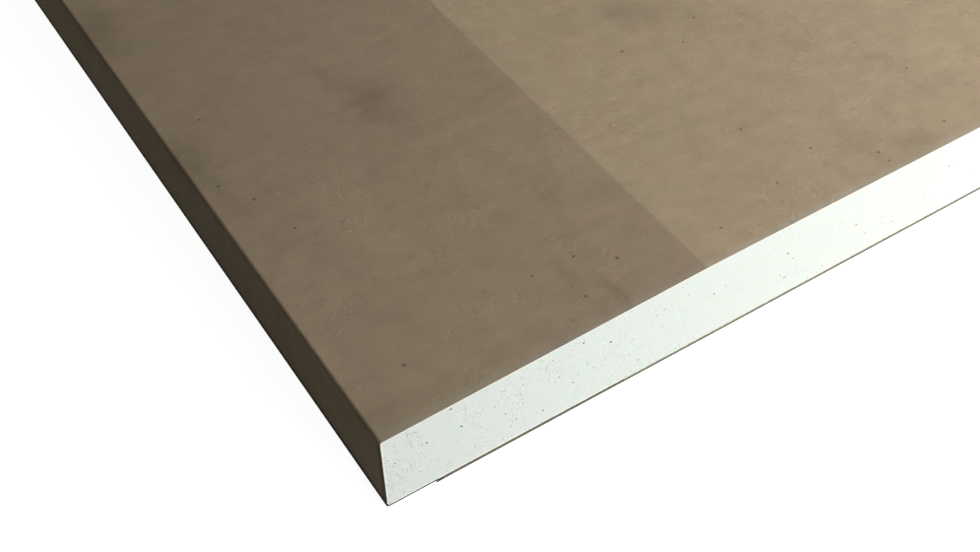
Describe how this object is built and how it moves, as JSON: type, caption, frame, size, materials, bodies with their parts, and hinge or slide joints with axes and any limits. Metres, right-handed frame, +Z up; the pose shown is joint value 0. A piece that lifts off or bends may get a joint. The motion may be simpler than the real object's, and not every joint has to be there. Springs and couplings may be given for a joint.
{
  "type": "drywall sheet",
  "caption": "Full sheet of drywall lying face up: gypsum core between a wrapped face paper and a flat back paper, with tapered long edges and square-cut ends.",
  "frame": {"origin": "middle of the underside, on the surface that the sheet lies on", "axes": "+X across the sheet's width, +Y along its length, +Z up out of its face"},
  "size_m": [1.2, 2.4, 0.0125],
  "materials": {
    "gypsum": "matte, sawn, with small air pores",
    "face_paper": "matte taupe liner paper with fibres and soft mottling",
    "back_paper": "matte grey-brown liner paper"
  },
  "bodies": {
    "root": {"gypsum_core": "gypsum", "face_paper": "face_paper", "back_paper": "back_paper"}
  },
  "joints": []
}
